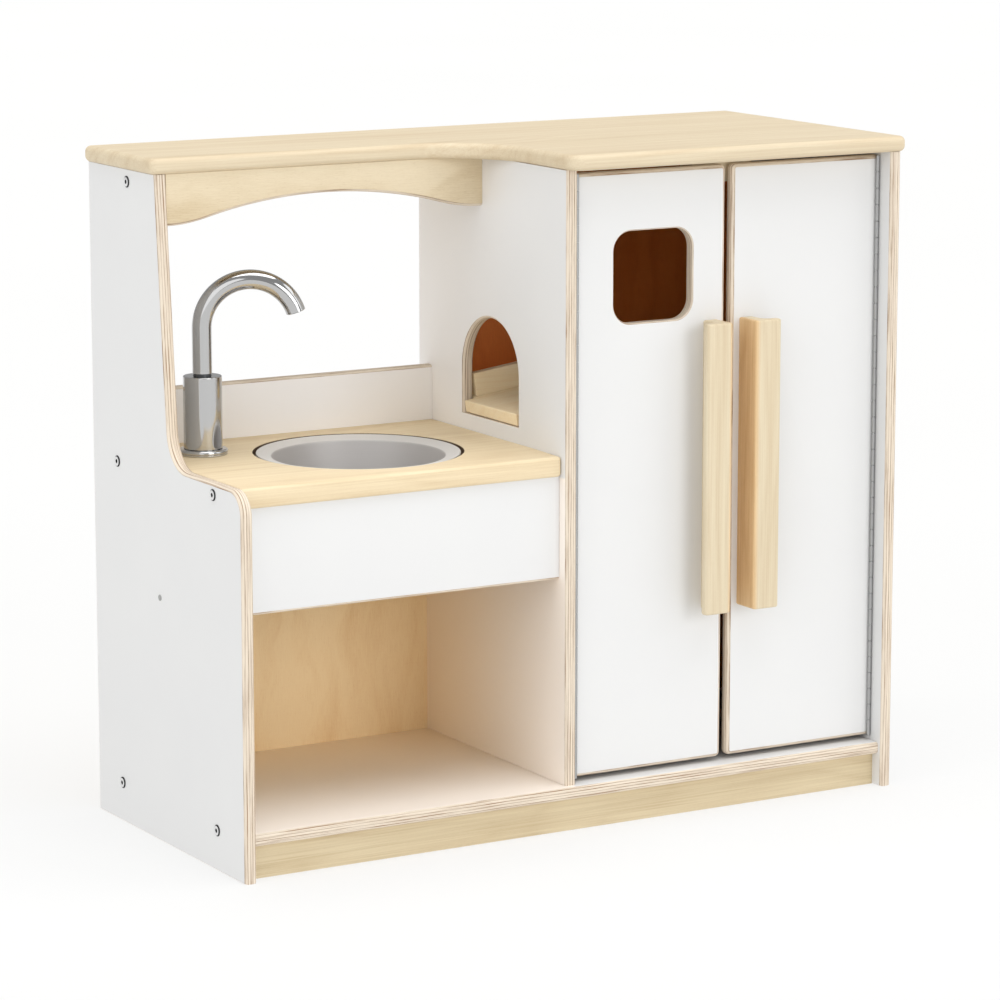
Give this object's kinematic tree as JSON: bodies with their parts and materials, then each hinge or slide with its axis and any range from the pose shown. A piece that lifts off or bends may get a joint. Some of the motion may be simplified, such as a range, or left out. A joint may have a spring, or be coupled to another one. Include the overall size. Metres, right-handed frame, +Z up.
{
  "type": "toy kitchen",
  "caption": "Wooden play kitchen with a lift-out sink bowl, swivelling tap, open bay, and a tall cupboard with hinged doors, a door window and a chute to the worktop.",
  "frame": {"origin": "on the floor, at the centre of the overall footprint with the handles included", "axes": "+X to the right as seen from the front, +Y from the front to the back, +Z up; the doors and the sink bay face -Y"},
  "size_m": [0.912, 0.4074, 0.8115],
  "materials": {
    "white_laminated_ply": "white satin laminate on birch plywood, bare layered edges",
    "solid_birch": "clear satin lacquer",
    "birch_ply": "clear satin lacquer",
    "chrome": "polished",
    "satin_steel": "satin",
    "zinc_plated_steel": "zinc plated",
    "magnet": "matte",
    "grey_plastic": "matte"
  },
  "bodies": {
    "carcass": {"left_side_panel": "white_laminated_ply", "right_side_panel": "white_laminated_ply", "divider_panel": "white_laminated_ply", "deck_board": "white_laminated_ply", "front_kick_board": "solid_birch", "back_kick_board": "birch_ply", "sink_top_rail": "solid_birch", "cupboard_top_rail": "solid_birch", "sink_back_panel": "birch_ply", "cupboard_back_panel": "birch_ply", "top_board": "solid_birch", "arched_valance": "solid_birch", "sink_counter": "solid_birch", "backsplash": "white_laminated_ply", "sink_apron": "white_laminated_ply", "faucet_flange": "chrome", "faucet_body": "chrome", "faucet_nut": "zinc_plated_steel", "catch_block": "solid_birch", "left_catch_magnet": "magnet", "right_catch_magnet": "magnet", "cupboard_shelf": "birch_ply", "chute_floor": "solid_birch", "chute_back_rail": "solid_birch", "chute_front_guide": "solid_birch", "left_bolt_deck_front": "zinc_plated_steel", "left_bolt_deck_back": "zinc_plated_steel", "left_bolt_counter_front": "zinc_plated_steel", "left_bolt_counter_back": "zinc_plated_steel", "left_bolt_top_rail": "zinc_plated_steel", "right_bolt_deck_front": "zinc_plated_steel", "right_bolt_deck_back": "zinc_plated_steel", "right_bolt_shelf_front": "zinc_plated_steel", "right_bolt_shelf_back": "zinc_plated_steel", "right_bolt_top_rail": "zinc_plated_steel", "left_side_plug": "grey_plastic", "left_hinge_frame_leaf": "satin_steel", "right_hinge_frame_leaf": "satin_steel", "left_hinge_pin": "zinc_plated_steel", "right_hinge_pin": "zinc_plated_steel"},
    "left_door_leaf": {"left_door": "white_laminated_ply", "left_handle": "solid_birch", "left_hinge_door_leaf": "satin_steel", "left_strike_plate": "zinc_plated_steel"},
    "right_door_leaf": {"right_door": "white_laminated_ply", "right_handle": "solid_birch", "right_hinge_door_leaf": "satin_steel", "right_strike_plate": "zinc_plated_steel"},
    "spout": {"faucet_spout": "chrome", "faucet_aerator": "grey_plastic"},
    "bowl": {"sink_bowl": "satin_steel"}
  },
  "joints": [
    {"name": "left_door_hinge", "type": "hinge", "parent": "carcass", "child": "left_door_leaf", "pos_m": [0.0038, -0.16805, 0], "axis": [0, 0, 1], "range_deg": [-110, 0]},
    {"name": "right_door_hinge", "type": "hinge", "parent": "carcass", "child": "right_door_leaf", "pos_m": [0.4322, -0.16805, 0], "axis": [0, 0, 1], "range_deg": [0, 100]},
    {"name": "spout_swivel", "type": "hinge", "parent": "carcass", "child": "spout", "pos_m": [-0.3705, 0.06475, 0], "axis": [0, 0, 1], "range_deg": [-75, 90]},
    {"name": "sink_bowl_lift", "type": "slide", "parent": "carcass", "child": "bowl", "axis": [0, 0, 1], "range_m": [0, 0.12]}
  ]
}
